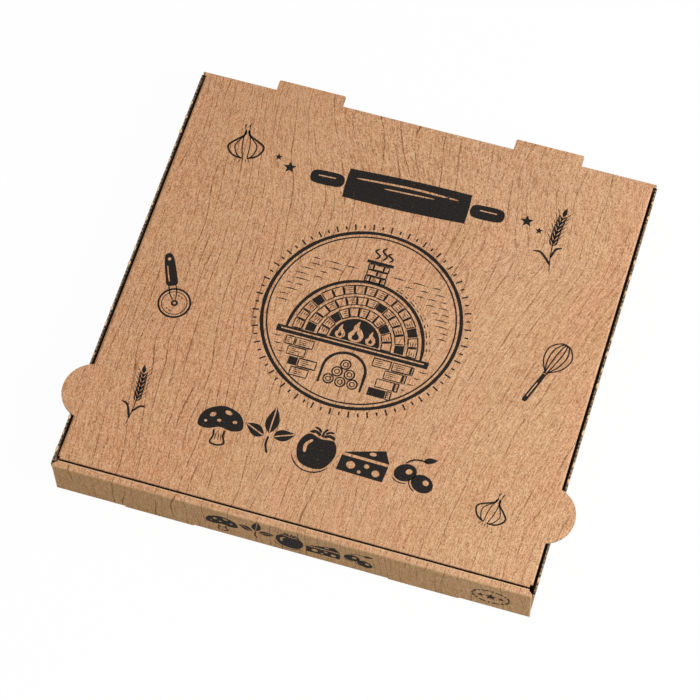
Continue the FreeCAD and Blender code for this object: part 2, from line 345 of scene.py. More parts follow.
def material_graph(name):
    """The empty tree of a new material."""
    return Graph(bpy.data.materials.new(name))


def opaque(colour):
    """A plain colour with its alpha, or a wire as it is."""
    return colour if isinstance(colour, Wire) else (*colour, 1.0)


def scaled(place, share):
    """A place whose parts are all multiplied by one number."""
    return tuple(part * share for part in place)


def either(*masks):
    """1 where any mask is."""
    whole = masks[0]
    for mask in masks[1:]:
        whole = whole.at_least(mask)
    return whole


def band(value, low, high, edge=0.05):
    """1 between low and high."""
    return value.rise(low - edge, low + edge) * value.rise(high + edge, high - edge)


# The board's materials


def unfolded(place, face, top):
    """Across and along as they were on the flat sheet, for faces that fold down from the top."""
    across, along, up = place
    aside, ahead = ((part * 3.0).at_least(-1.0).at_most(1.0) for part in face[:2])
    return across + (top - up) * aside, along + (top - up) * ahead


def wood_flow(graph, across, along):
    """Across, bent as the printed grain runs: straight on the left and leaning on the right."""
    right = ((along - 60.0) / 125.0).wave() * across.rise(-70.0, 110.0) * -42.0
    left = along * across.rise(20.0, -80.0) * 0.06
    upper = along.rise(70.0, 175.0) * across.rise(-150.0, -60.0) * 30.0
    bend = (graph.noise((across * 0.008, along * 0.006, 4.0), 1.0) - 0.5) * 10.0
    wobble = (graph.noise((across * 0.09, along * 0.035, 7.0), 2.0) - 0.5) * 2.0
    return across + right + left + upper + bend + wobble


def wood_print(graph, flow, along):
    """How dark the printed wood grain is: long broken lines, finer ones between, and fibres."""
    figure = graph.noise((flow * 0.011, along * 0.0042, 11.0), 1.0) - 0.5
    drift = graph.noise((flow * 0.06, along * 0.012, 31.0), 1.0) - 0.5
    lane = flow * 0.15 + figure * 5.0 + drift * 2.6
    line = abs(lane.fraction() - 0.5).rise(0.075, 0.02)
    odd = graph.noise(((lane - lane.fraction()) * 7.7, along * 0.009, 13.0), 1.0)
    dashes = graph.noise((flow * 0.4, along * 0.045, 17.0), 3.0, 0.6).rise(0.37, 0.50)
    long_lines = line * dashes * odd.rise(0.36, 0.52)
    close = lane * 3.0 + figure * 3.0
    thin = abs(close.fraction() - 0.5).rise(0.15, 0.05)
    short = graph.noise((flow * 0.7, along * 0.07, 21.0), 3.0, 0.6).rise(0.48, 0.62)
    fibre = graph.noise((flow * 1.6, along * 0.07, 27.0), 2.0, 0.6).rise(0.53, 0.70)
    pale_right = 1.0 - flow.rise(-20.0, 90.0) * 0.3
    return either(long_lines * pale_right, thin * short * 0.55, fibre * 0.42)


def paper_tone(graph, place, face, sheet, board, printed):
    """The liner's colour, with clouds, printed grain, flecks, and shade deep in a gap.

    Gives the colour, the flecks and the grain.
    """
    across, along, up = place
    top = LID_HIGH[2] / MM
    flow = wood_flow(graph, *sheet)
    grain = wood_print(graph, flow, sheet[1])
    clouds = graph.noise((flow * 0.012, along * 0.008, up * 0.02), 3.0, 0.6).rise(0.36, 0.66)
    mottle = graph.noise((flow * 0.16, along * 0.07, up * 0.16), 3.0, 0.6).rise(0.3, 0.7)
    streaks = graph.noise((flow * 0.035, along * 0.007, up * 0.05 + 9.0), 2.0).rise(0.45, 0.68)
    outside = graph.mix(clouds * 0.65 + mottle * 0.25, board.kraft, board.kraft_warm)
    outside = graph.mix(streaks * 0.5, outside, PINK_STREAK)
    # painted shade: the liner turns darker and more amber towards the left
    outside = graph.mix(across.rise(90.0, -170.0) * 0.45, outside, LEFT_SIDE_SHADE)
    base = graph.mix(printed, board.kraft_inside, outside)
    base = graph.mix(grain * printed, base, board.grain)
    fleck = graph.grains((flow * 1.95, sheet[1] * 1.25, up * 0.4))
    soft = graph.noise((flow * 1.9, sheet[1] * 0.2, up * 0.1), 1.0, 0.6)
    base = graph.mix(fleck.rise(0.42, 0.0) * (0.4 + printed * 0.22), base, DARK_FLECK)
    base = graph.mix(fleck.rise(0.58, 1.0) * (0.35 + printed * 0.19), base, LIGHT_FLECK)
    base = graph.mix(soft.rise(0.50, 0.68) * 0.34, base, DARK_FIBRE)
    base = graph.mix(soft.rise(0.50, 0.32) * 0.28, base, LIGHT_FIBRE)
    pores = graph.spots((across * 0.075, along * 0.062, up * 0.075)).rise(0.052, 0.034)
    base = graph.mix(pores * 0.75, base, PORE)
    # painted shade: narrow gaps near the top are darkened by ambient occlusion, except on faces
    # that look down
    gap = graph.closeness(0.004).rise(0.42, 0.68) * up.rise(top - 9.0, top - 6.0) \
        * face[2].rise(-0.9, -0.5)
    base = graph.mix(gap * 0.92, base, board.flute_shade)
    return base, fleck, grain


def wall_shade_and_tone(graph, place, colour, grain, share):
    """The walls' print with a painted olive shade tint, and a little rougher than the lid's."""
    coarse = graph.noise(scaled(place, 1.1), 2.0, 0.7)
    # painted shade: the walls turned greener and darker
    colour = graph.mix(share * 0.32, colour, WALL_SHADE_TINT)
    colour = graph.mix(share * coarse.rise(0.52, 0.62) * 0.26, colour, WALL_DARK)
    colour = graph.mix(share * coarse.rise(0.46, 0.36) * 0.22, colour, WALL_LIGHT)
    return graph.mix(share * grain * 0.45, colour, WALL_GRAIN)


def flute_wave(run, board):
    """From -1 to 1 and back, once for each flute."""
    return (run * (math.tau * MM / board.flute_pitch)).wave()


def raw_edge_tone(graph, place, board, low, high):
    """A cut edge of the board: two light liners, and flutes over the shade between them."""
    along, up = place[1:]
    flutes = (flute_wave(along, board) * 0.5 + 0.5).rise(0.25, 0.75)
    share = (up - low) / (high - low)
    liner = either(share.rise(0.26, 0.14), share.rise(0.74, 0.86))
    ragged = graph.noise(scaled(place, 1.4), 2.0).rise(0.35, 0.65)
    inner = graph.mix(flutes * 0.55 + ragged * 0.25, board.flute_shade, board.kraft_inside)
    return graph.mix(liner * 0.85, inner, board.kraft)


def looks_out(place, face):
    """1 on faces that look away from the box's middle to the left or the right."""
    return (place[0] * face[0]).rise(60.0, 110.0)


def washboard(place, face, board):
    """The faint ribs that the flutes press through the liner."""
    upright = abs(face[1]).rise(0.6, 0.8)
    run = place[1] * (1.0 - upright) + place[2] * upright
    return flute_wave(run, board) * 0.5 + 0.5


def lid_material(board):
    """The lid's board, with the printed liner outside and the plain one inside."""
    graph = material_graph("lid_board")
    place, face = graph.place()
    across, along, up = place
    top = LID_HIGH[2] / MM
    thick = board.thickness / MM
    under = top - thick
    foot = LID_LOW[2] / MM
    front = LID_LOW[1] / MM
    side = LID_HIGH[0] / MM - EAR_REACH
    flap_end = -155.0
    printed = either(
        face[2].rise(0.3, 0.6) * up.rise(under + 0.4, under + 0.8),
        looks_out(place, face),
        face[1].rise(-0.5, -0.8) * along.rise(front + 8.0, front + 6.0))
    colour, fleck = paper_tone(
        graph, place, face, unfolded(place, face, top), board, printed)[:2]
    flat = abs(face[2]).rise(0.35, 0.15)
    in_panel = up.rise(under - 0.1, under + 0.1) * up.rise(top + 0.2, top - 0.02)
    beyond = either(
        abs(across).rise(side + 0.3, side + 0.7),
        along.rise((HINGE.y / MM) - 0.6, (HINGE.y / MM) - 0.2),
        band(abs(across), side - 3.0, side - 1.95) * abs(along - flap_end).rise(6.0, 4.0))
    flap_foot = face[2].rise(-0.6, -0.9) * up.rise(foot + 1.2, foot + 0.9)
    raw = either(flat * in_panel * beyond, flap_foot)
    colour = graph.mix(raw, colour, raw_edge_tone(graph, place, board, under, top))
    # painted highlight: the lid's side and front folds are made paler, partly stretched liner and
    # partly light caught on the rounded fold
    fold = abs(across).rise(side - 1.1, side - 0.3) * up.rise(top - 1.9, top - 0.9) \
        * abs(across).rise(side + 0.4, side + 0.1)
    fold = fold * abs(along - EAR_ALONG).rise(EAR_RADIUS + 0.3, EAR_RADIUS + 0.7)
    front_fold = along.rise(front + 1.3, front + 0.5) * up.rise(top - 1.1, top - 0.5)
    uneven = graph.noise(scaled(place, 0.5), 2.0).rise(0.2, 0.6)
    edge_pale_and_highlight = either(fold, front_fold * 0.8) * printed * uneven * 0.3
    colour = graph.mix(edge_pale_and_highlight, colour, board.pale_fibre_and_highlight)
    height = fleck * 0.35 + washboard(place, face, board) * 0.25 + (1.0 - edge_pale_and_highlight) * 0.2
    return graph.finish(colour, height, 0.00012, 0.82)


def tray_material(board):
    """The tray's board: printed where the blank's outer side shows, plain inside."""
    graph = material_graph("tray_board")
    place, face = graph.place()
    across, along, up = place
    top = TRAY_HIGH[2] / MM
    thick = board.thickness / MM
    half_depth = TRAY_HIGH[1] / MM
    wall_top = top - thick - REST_GAP
    roll_back = 3 * thick + 2 * LAYER_GAP - half_depth
    strip = face[2].rise(0.2, 0.5) * along.rise(roll_back + 0.3, roll_back + 0.1) \
        * up.rise(top - 1.9, top - 1.7)
    front_face = face[1].rise(-0.3, -0.6) * along.rise(0.7 - half_depth, 0.5 - half_depth)
    panel_back = face[1].rise(0.5, 0.8) * band(along, roll_back - 0.4, roll_back + 0.2)
    rear_face = face[1].rise(0.5, 0.8) * along.rise(half_depth - 0.3, half_depth - 0.1)
    side_face = looks_out(place, face) * abs(across).rise(HALF_BASE - 0.4, HALF_BASE - 0.1) \
        * band(along, 2.1 - half_depth, half_depth - 2.1)
    below = face[2].rise(-0.5, -0.8) * up.rise(0.4, 0.2)
    printed = either(strip, front_face, panel_back, rear_face, side_face, below)
    colour, fleck, grain = paper_tone(
        graph, place, face, unfolded(place, face, top), board, printed)
    # painted shade tint on the front, rear and side faces
    colour = wall_shade_and_tone(graph, place, colour, grain, either(front_face, rear_face, side_face))
    wall_edge = face[2].rise(0.7, 0.9) * band(up, wall_top - 0.1, wall_top + 0.1)
    end_edge = abs(face[0]).rise(0.7, 0.9) * (1.0 - side_face) * band(up, -0.1, top + 0.1) \
        * either(along.rise(1.65 - half_depth, 1.55 - half_depth),
                 along.rise(half_depth - 1.65, half_depth - 1.55))
    share = graph.noise(scaled(place, 1.4), 2.0).rise(0.4, 0.6)
    colour = graph.mix(wall_edge, colour, raw_wall_top(graph, place, board))
    colour = graph.mix(end_edge, colour, graph.mix(share, board.pale_fibre_and_highlight, board.kraft_inside))
    # painted highlight along the roll-over strip's folds and the ends of the strip and front wall,
    # partly pale stretched liner
    inner_fold = band(along, roll_back - 1.3, roll_back + 0.1) * up.rise(top - 0.9, top - 0.1)
    outer_fold = along.rise(1.9 - half_depth, 0.9 - half_depth) * up.rise(top - 1.6, top - 0.6)
    uneven = graph.noise(scaled(place, 0.4), 2.0).rise(0.25, 0.65)
    slant = 1.3
    corner = HALF_FRONT - half_depth * slant
    strip_end = strip * (abs(across) + along * slant).rise(corner + 2.2, corner + 2.6)
    wall_end = front_face * abs(across).rise(HALF_FRONT - 0.7, HALF_FRONT - 0.4)
    edge_pale_and_highlight = either(inner_fold, strip_end, wall_end * 0.7, outer_fold * 0.15) \
        * (uneven * 0.6 + 0.4)
    colour = graph.mix(edge_pale_and_highlight, colour, board.pale_fibre_and_highlight)
    height = fleck * 0.35 + washboard(place, face, board) * (1.0 - below) * 0.25
    return graph.finish(colour, height, 0.00012, 0.84)


def raw_wall_top(graph, place, board):
    """A side wall's raw top: light paper where a flute touches the outer liner, painted shade
    between.
    """
    across, along = place[:2]
    edge = TRAY_HIGH[0] / MM
    torn = graph.noise((across * 0.6, along * 0.22, 2.0), 3.0, 0.6)
    touch = (flute_wave(along, board) * 0.3 + torn).rise(0.40, 0.66)
    outer = abs(across).rise(edge - 1.15, edge - 0.85)
    return graph.mix(touch * outer * 0.9, board.flute_shade, TORN_PAPER)


def flute_material(board):
    """The light paper of the flutes and liners at a raw edge, with painted shade on its inner side
    and in the holes between flutes.
    """
    graph = material_graph("flute_paper")
    place = graph.place()[0]
    across, along, up = place
    edge = TRAY_HIGH[0] / MM
    fibre = graph.noise(scaled(place, 2.0), 3.0, 0.7)
    patch = graph.noise((across * 0.7, along * 0.34, up * 0.3), 3.0, 0.6).rise(0.46, 0.56)
    inner = abs(across).rise(edge - 1.0, edge - 1.3)
    # painted shade on the inner side of the edge
    colour = graph.mix(inner, FLUTE_LIGHT, FLUTE_INNER_SHADE)
    colour = graph.mix(fibre.rise(0.4, 0.65) * 0.4, colour, FLUTE_FIBRE)
    # painted shade in the holes between the flutes
    colour = graph.mix(patch * 0.75, colour, board.flute_shade)
    return graph.finish(colour, fibre, 0.00008, 0.9)


def nick_material(board):
    """The torn fibre of a holding nick."""
    graph = material_graph("torn_fibre")
    fibre = graph.noise(scaled(graph.place()[0], 3.0), 3.0, 0.7)
    colour = graph.mix(fibre.rise(0.3, 0.7) * 0.5, board.pale_fibre_and_highlight, board.kraft)
    return graph.finish(colour, fibre, 0.0001, 0.95)


def ink_material(board, settings):
    """Black ink that leaves small specks of board bare."""
    graph = material_graph("black_ink")
    place = graph.place()[0]
    across, along, up = place
    specks = graph.noise(scaled(place, 0.8), 2.0, 0.6)
    thin = graph.noise((across * 1.6, along * 1.1, up * 1.6), 2.0).rise(0.5, 0.75) * 0.07
    colour = graph.mix(either(specks.rise(0.715, 0.755) * 0.85, thin), settings.ink, board.kraft)
    return graph.finish(colour, specks, 0.00004, 0.66)


def add_object(name, data):
    """An object for some data, at the origin and in the scene."""
    item = bpy.data.objects.new(name, data)
    bpy.context.scene.collection.objects.link(item)
    return item


# Drawing with ink


class Ink:
    """Flat shapes, in millimetres on a drawing plane, that end as one thin closed mesh."""

    def __init__(self, seed):
        self.mesh = bmesh.new()
        self.place = Matrix.Identity(3)
        self.hand = random.Random(seed)

    def move(self, across, along, turn=0.0, size=1.0, within=None):
        """Draws what follows at another place, turned by degrees and scaled."""
        angle = math.radians(turn)
        cosine = math.cos(angle) * size
        sine = math.sin(angle) * size
        spot = Matrix(((cosine, -sine, across), (sine, cosine, along), (0, 0, 1)))
        self.place = within @ spot if within else spot

    def corner(self, point):
        """A vertex at a point of the drawing."""
        spot = self.place @ Vector((point[0], point[1], 1.0))
        return self.mesh.verts.new((spot.x, spot.y, 0.0))

    def fill(self, outline, *holes):
        """A solid area with holes."""
        loops = [[Vector((x, y, 0.0)) for x, y in loop] for loop in (outline, *holes)]
        corners = [self.corner(point) for loop in loops for point in loop]
        for triangle in tessellate_polygon(loops):
            self.mesh.faces.new([corners[index] for index in triangle])

    def stroke(self, points, width, start=0.35, end=0.35, closed=False, shake=0.05):
        """A line that swells in its middle and thins to shares of its width at its ends."""
        count = len(points)
        sides = []
        for index, (x, y) in enumerate(points):
            before = points[index - 1 if closed or index else 0]
            after = points[(index + 1) % count if closed else min(index + 1, count - 1)]
            run = Vector((after[0] - before[0], after[1] - before[1]))
            run = run.normalized() if run.length > 1e-9 else Vector((1.0, 0.0))
            share = index / (count - 1)
            edge = 1.0 if closed else min(1.0, start + share * 4, end + (1 - share) * 4)
            half = width / 2 * edge * (1 + self.hand.uniform(-shake, shake) * 2)
            aside = (run.y * half, -run.x * half)
            sides.append(((x - aside[0], y - aside[1]), (x + aside[0], y + aside[1])))
        rows = [(self.corner(left), self.corner(right)) for left, right in sides]
        pairs = list(zip(rows, rows[1:] + rows[:1] if closed else rows[1:]))
        for (left, right), (next_left, next_right) in pairs:
            self.mesh.faces.new((left, right, next_right, next_left))

    def build(self, name, plane, lift, material):
        """The ink as one mesh object on a plane of the box."""
        deep = lift * 0.8
        bmesh.ops.recalc_face_normals(self.mesh, faces=self.mesh.faces)
        for face in self.mesh.faces:
            face.normal_update()
            if face.normal.z < 0:
                face.normal_flip()
        for vertex in self.mesh.verts:
            vertex.co *= MM
        grown = bmesh.ops.extrude_face_region(self.mesh, geom=list(self.mesh.faces))
        raised = [item for item in grown["geom"] if isinstance(item, bmesh.types.BMVert)]
        bmesh.ops.translate(self.mesh, verts=raised, vec=(0.0, 0.0, deep))
        bmesh.ops.recalc_face_normals(self.mesh, faces=self.mesh.faces)
        bmesh.ops.translate(self.mesh, verts=self.mesh.verts, vec=(0.0, 0.0, lift - deep))
        bmesh.ops.transform(self.mesh, matrix=plane, verts=self.mesh.verts)
        data = bpy.data.meshes.new(name)
        self.mesh.to_mesh(data)
        self.mesh.free()
        data.materials.append(material)
        return add_object(name, data)


def arc(across, along, wide, high, first=0.0, last=360.0, count=24, turn=0.0):
    """Points along an ellipse, from one angle in degrees to another."""
    tilt = math.radians(turn)
    points = []
    for step in range(count + 1):
        angle = math.radians(first + (last - first) * step / count)
        x = wide * math.cos(angle)
        y = high * math.sin(angle)
        points.append((across + x * math.cos(tilt) - y * math.sin(tilt),
                       along + x * math.sin(tilt) + y * math.cos(tilt)))
    return points


def ring(across, along, wide, high=None, count=40, turn=0.0):
    """A closed ellipse without its doubled last point."""
    return arc(across, along, wide, high or wide, 0.0, 360.0, count, turn)[:-1]


def smooth(points, steps=6, closed=False):
    """A smooth line through a few given points."""
    count = len(points)
    spans = count if closed else count - 1
    line = []
    for span in range(spans):
        knots = []
        for shift in (-1, 0, 1, 2):
            index = (span + shift) % count if closed else min(max(span + shift, 0), count - 1)
            knots.append(Vector(points[index]))
        for step in range(steps):
            t = step / steps
            spot = 0.5 * (2 * knots[1] + (knots[2] - knots[0]) * t
                          + (2 * knots[0] - 5 * knots[1] + 4 * knots[2] - knots[3]) * t ** 2
                          + (3 * knots[1] - knots[0] - 3 * knots[2] + knots[3]) * t ** 3)
            line.append((spot.x, spot.y))
    if not closed:
        line.append(tuple(points[-1]))
    return line


def leaf(length, width, bend=0.0, count=12):
    """A pointed leaf from the origin along Y: its two sides, up one and down the other."""
    left = []
    right = []
    for step in range(count + 1):
        share = step / count
        half = width / 2 * math.sin(math.pi * share ** 0.8) * (1.0 - 0.15 * share)
        sway = bend * math.sin(math.pi * share / 2) ** 2
        left.append((sway - half, length * share))
        right.append((sway + half, length * share))
    return left, right


# The motifs, each drawn round its own origin in millimetres


def draw_tomato(ink):
    """A whole tomato with its leaves, as a solid shape."""
    body = smooth([(-13, 1), (-9, 10), (0, 9), (9, 10), (13, 1), (9, -10), (0, -13), (-9, -10)],
                  6, True)
    shine = smooth([(-9, 2), (-6, 6.5), (-4.4, 6), (-6.6, 2), (-6.2, -3), (-8, -3)], 4, True)
    ink.fill(body, shine)
    ink.stroke(arc(-1, -2, 14.4, 14, 205, 330, 16), 0.9)


def draw_tomato_top(ink):
    """The tomato's star of leaves, and its stalk, over the body's notch."""
    ink.stroke(smooth([(0, 10.6), (0.2, 14), (1.6, 17)], 4), 1.5, 0.8, 0.8)
    low = ((1.2, 11.2), (5, 12.8), (9, 11.4))
    high = ((1.6, 13.4), (4, 15.4), (7, 15.6))
    for side in (-1, 1):
        for blade, width in ((low, 2.2), (high, 1.5)):
            ink.stroke(smooth([(side * x, y) for x, y in blade], 4), width, 0.7, 0.1)


def draw_mushroom(ink):
    """A mushroom cut in half: a heavy cap over a light stalk with gills."""
    cap = smooth([(-15, -1), (-12, 9), (0, 14), (12, 9), (15, -1), (8, -3.5), (0, -1.5),
                  (-8, -3.5)], 6, True)
    spots = [ring(-6, 7, 2.2, 1.6, 10, 30), ring(4, 9.5, 2.6, 1.5, 10, -20),
             ring(9.2, 3.2, 1.6, 1.2, 8), ring(-1.2, 3.2, 1.5, 1.1, 8),
             ring(-10, 1.8, 1.1, 0.9, 8)]
    ink.fill(cap, *spots)
    stalk = [(-3.6, -3.8), (-3.2, -8), (-4.6, -13), (0, -14.6), (4.6, -13), (3.2, -8), (3.6, -3.8)]
    ink.stroke(smooth(stalk), 1.3, 0.8, 0.8)
    for shift in (-1.6, 0.2, 1.8):
        ink.stroke([(shift, -5.6), (shift * 1.1, -8.5), (shift * 1.3, -11.4)], 0.7)


def draw_cheese(ink):
    """A wedge of cheese, solid, with round holes."""
    top = [(-16, 3), (10, 13.5), (15.5, 5.2)]
    face = [(-16, 1), (15.5, 3.2), (15.5, -8.4), (-16, -10.2)]
    ink.fill(top, ring(3, 8.2, 2.4, 1.3, 12, 10))
    ink.fill(face, ring(-8, -4, 3.0, 2.7, 16), ring(2.2, -1.4, 1.8, 1.6, 12),
             ring(9.4, -4.2, 2.6, 2.4, 14), ring(-1.2, -6.8, 1.3, 1.2, 10))


def draw_basil(ink):
    """A basil sprig: three leaves split along their ribs."""
    place = ink.place.copy()
    for turn, length, width in ((0, 20, 9.6), (68, 15, 9.0), (-68, 15, 9.0)):
        angle = math.radians(turn)
        ink.move(-3.4 * math.sin(angle), 3.4 * math.cos(angle), turn, 1.0, place)
        left, right = leaf(length, width, 1.2)
        rib = [(1.2 * math.sin(math.pi * step / 24) ** 2, length * step / 12)
               for step in range(13)]
        ink.fill(left + [(x - 0.45, y) for x, y in reversed(rib[1:-1])])
        ink.fill(right + [(x + 0.45, y) for x, y in reversed(rib[1:-1])])
    ink.place = place
    ink.stroke(smooth([(0, 1), (-0.6, -5), (1.4, -11)], 5), 1.5, 0.8, 0.5)


def draw_olive(ink):
    """Two stoned olives, heavy rings with a small shine."""
    for across, along, turn in ((-5.5, 1.5, 25), (7.0, -3.5, -20)):
        outer = ring(across, along, 7.6, 6.2, 24, turn)
        hole = ring(across + 2.2, along + 1.2, 2.2, 1.9, 14, turn)
        ink.fill(outer, hole)
        ink.stroke(arc(across, along, 9.0, 7.6, 190, 262, 8, turn), 0.8)
    ink.stroke(smooth([(-7, 8), (-3, 11.5), (3, 12.6), (8, 11)], 5), 1.1, 0.6, 0.2)
    left, right = leaf(9.5, 4.4, 1.0)
    ink.move(4.0, 12.4, -65.0, 1.0, ink.place)
    ink.fill(left + list(reversed(right[1:-1])))


def draw_garlic(ink):
    """A garlic bulb in line: its cloves, its neck and its roots."""
    for bulge, width in ((13.0, 1.5), (8.0, 0.9), (2.8, 0.8)):
        for side in (-1, 1):
            line = ((1.2, 13), (2.2, 8), (bulge, -1), (bulge * 0.72, -9), (1.6, -12))
            ink.stroke(smooth([(side * x, y) for x, y in line]), width, 0.5, 0.5)
    ink.stroke([(-1.6, 13), (-1.9, 16.5), (-0.9, 18)], 1.2)
    ink.stroke([(1.6, 13), (1.3, 16), (2.2, 18.4)], 1.2)
    for shift in (-3, -1.2, 0.8, 2.6):
        ink.stroke([(shift, -12.4), (shift * 1.2, -14), (shift * 1.5, -15.4)], 0.7)


def draw_wheat(ink, length=74.0, bend=16.0, pairs=6):
    """A wheat ear on a bowed stalk, its grains in pairs and its beard in fine lines."""
    def spine(share):
        """A point of the stalk, by its share of the length."""
        return (bend * share ** 2, length * share)
    stalk = [spine(step / 18) for step in range(19)]
    ink.stroke(stalk, 1.1, 0.9, 0.4)
    place = ink.place.copy()
    for pair in range(pairs):
        share = 0.44 + 0.082 * pair
        x, y = spine(share)
        lean = math.degrees(math.atan2(2 * bend * share, length))
        for side in (-1, 1):
            ink.move(x, y, -lean - side * 27.0, 1.0, place)
            left, right = leaf(11.0, 5.2)
            rib = [(0.5, 1.6), (0.45, 5.0), (0.1, 8.4)]
            slot = rib + [(-x_rib, y_rib) for x_rib, y_rib in reversed(rib)]
            ink.fill(left + list(reversed(right[1:-1])), slot)
            ink.stroke([(0, 11.4), (side * 0.4, 15.0), (side * 1.0, 19.0)], 0.8, 0.9, 0.1)
    ink.move(bend * 0.9, length * 0.95, -22.0 if bend > 0 else 22.0, 1.0, place)
    left, right = leaf(12.0, 5.4)
    ink.fill(left + list(reversed(right[1:-1])))
    ink.place = place
    for side, reach, size in ((-1, 0.12, 1.0), (1, 0.24, 0.7)):
        x, y = spine(reach)
        blade = [(x, y), (x + side * 5, y + 9), (x + side * 11 * size, y + 16 * size),
                 (x + side * 19 * size, y + 17 * size)]
        ink.stroke(smooth(blade), 2.6, 0.9, 0.1)


def draw_rolling_pin(ink):
    """A rolling pin, heavy and black, with long shines left bare."""
    half = 39.0
    thick = 10.5
    edge = thick - 1.5
    body = smooth([(-half, -edge), (-half, edge), (3 - half, thick), (0, thick + 0.8),
                   (half - 3, thick), (half, edge), (half, -edge), (half - 3, -thick),
                   (0, -thick - 0.8), (3 - half, -thick)], 5, True)
    shines = [smooth([(-30, 5.2), (0, 6.4), (22, 5.6), (22, 4.4), (0, 5.0), (-30, 4.2)], 3, True),
              smooth([(26, 5.3), (31, 5.0), (31, 4.2), (26, 4.4)], 3, True),
              smooth([(-12, 1.8), (14, 2.2), (14, 1.4), (-12, 1.0)], 3, True)]
    ink.fill(body, *shines)
    grip = smooth([(40.5, -2.2), (43.5, -4.6), (52, -5.0), (60, -4.2), (62, 0), (60, 4.2),
                   (52, 5.0), (43.5, 4.6), (40.5, 2.2)], 4, True)
    shine = ((46, 1.6), (57, 1.4), (57, 0.6), (46, 0.7))
    for side in (-1, 1):
        ink.fill([(side * x, y) for x, y in grip], [(side * x, y) for x, y in shine])


def draw_cutter(ink):
    """A cutting wheel on its handle, in line."""
    ink.stroke(ring(0, 0, 11.5, count=36), 1.5, closed=True)
    ink.stroke(ring(0, 0, 9.2, count=30), 0.6, closed=True)
    ink.fill(ring(0, 0, 2.6, count=14), ring(0, 0, 1.1, count=10))
    for angle in (20, 45, 200, 225):
        ink.stroke(arc(0, 0, 6.6, 6.6, angle, angle + 18, 5), 0.7)
    for side in (-1, 1):
        ink.stroke([(side * 1.0, 2.6), (side * 2.6, 8), (side * 2.6, 15)], 1.0, 0.7, 0.9)
    handle = smooth([(-3.6, 15), (-4.2, 22), (-3.8, 34), (-2.6, 40), (0, 41.5), (2.6, 40),
                     (3.8, 34), (4.2, 22), (3.6, 15)], 4, True)
    shine = [(-2.2, 18), (-2.5, 24), (-2.2, 31), (-1.4, 31), (-1.6, 24), (-1.4, 18)]
    ink.fill(handle, ring(0, 36.6, 1.3, count=10), shine)


def draw_whisk(ink):
    """A balloon whisk in line."""
    for spread in (9.5, 5.6, 1.8):
        left = [(-0.8, 14), (-spread * 0.8, 22), (-spread, 32), (-spread * 0.5, 39), (0, 40.5)]
        ink.stroke(smooth(left + [(-x, y) for x, y in reversed(left[:-1])]), 0.95, 0.9, 0.9)
    ink.fill([(-1.9, -12), (-1.5, 12.5), (1.5, 12.5), (1.9, -12), (1.2, -13.6), (-1.2, -13.6)],
             [(-0.6, -9), (-0.5, 4), (0.3, 4), (0.3, -9)])
    ink.stroke([(-2.0, 13.3), (0, 13.6), (2.0, 13.3)], 1.2, 0.9, 0.9)


def draw_star(ink, radius=4.0):
    """A plain five-pointed star."""
    points = []
    for step in range(10):
        reach = radius if step % 2 == 0 else radius * 0.45
        angle = math.radians(90 + 36 * step)
        points.append((reach * math.cos(angle), reach * math.sin(angle)))
    ink.fill(points)


FLAME = ((-4.5, 0), (-6.5, 5), (-3.8, 9), (-3.4, 13.5), (0, 18.5), (0.6, 13), (3.6, 10.5),
         (6.4, 5.2), (4.4, 0), (0, -1.2))


def draw_brick(ink, corners):
    """One brick in line, from its four corners, with a few strokes of shade."""
    middle = [sum(axis) / 4 for axis in zip(*corners)]
    shrunk = [(middle[0] + (x - middle[0]) * 0.9, middle[1] + (y - middle[1]) * 0.88)
              for x, y in corners]
    edge = []
    for first, second in zip(shrunk, shrunk[1:] + shrunk[:1]):
        edge.append(first)
        edge.append(((first[0] + second[0]) / 2, (first[1] + second[1]) / 2))
    kind = ink.hand.random()
    if kind < 0.2:
        ink.fill(edge)
        return
    ink.stroke(edge, 0.9, closed=True, shake=0.14)
    if kind < 0.9:
        for share in (0.26, 0.5, 0.74):
            start = [a + (b - a) * share for a, b in zip(shrunk[0], shrunk[3])]
            end = [a + (b - a) * share for a, b in zip(shrunk[1], shrunk[2])]
            stop = ink.hand.uniform(0.45, 0.8)
            far = [a + (b - a) * stop for a, b in zip(start, end)]
            near = [a + (b - a) * 0.12 for a, b in zip(start, end)]
            ink.stroke([near, [(a + b) / 2 for a, b in zip(near, far)], far], 0.6)


def arch_bricks(ink, centre, inner, outer, first, last, count):
    """Bricks side by side round an arch."""
    def spot(reach, angle):
        """A point of the arch on one of its two curves."""
        return (reach[0] * math.cos(angle), centre + reach[1] * math.sin(angle))
    for brick in range(count):
        low = math.radians(first + (last - first) * brick / count)
        high = math.radians(first + (last - first) * (brick + 1) / count)
        draw_brick(ink, [spot(inner, low), spot(inner, high), spot(outer, high), spot(outer, low)])


def bar(half, first, last):
    """The corners of a level bar, from one height to another."""
    return [(-half, first), (half, first), (half, last), (-half, last)]


